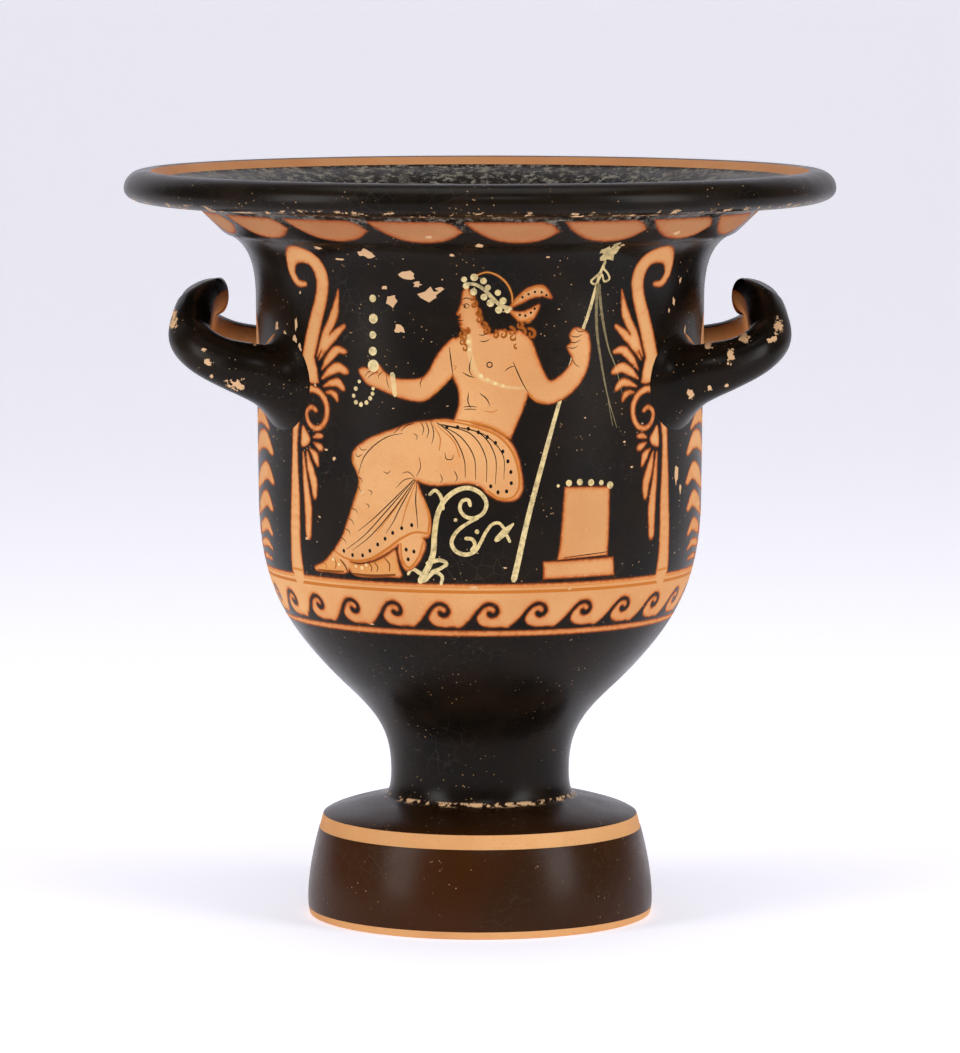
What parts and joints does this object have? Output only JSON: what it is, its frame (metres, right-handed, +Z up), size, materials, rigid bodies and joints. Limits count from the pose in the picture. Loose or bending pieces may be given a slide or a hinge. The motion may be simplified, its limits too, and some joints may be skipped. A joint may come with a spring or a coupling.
{
  "type": "bell krater",
  "caption": "Wide bell-shaped pottery bowl for mixing wine, with an everted rolled lip, upturned side handles and a short stem on a heavy drum foot.",
  "frame": {"origin": "on the vessel's axis, at the plane its foot stands on", "axes": "+Z up along the vessel's axis; the handles point along +X and -X; the main picture faces -Y"},
  "size_m": [0.3412, 0.3412, 0.36],
  "materials": {
    "glazed_clay": "semi-gloss black slip over fired orange clay"
  },
  "bodies": {
    "root": {"krater": "glazed_clay"}
  },
  "joints": []
}
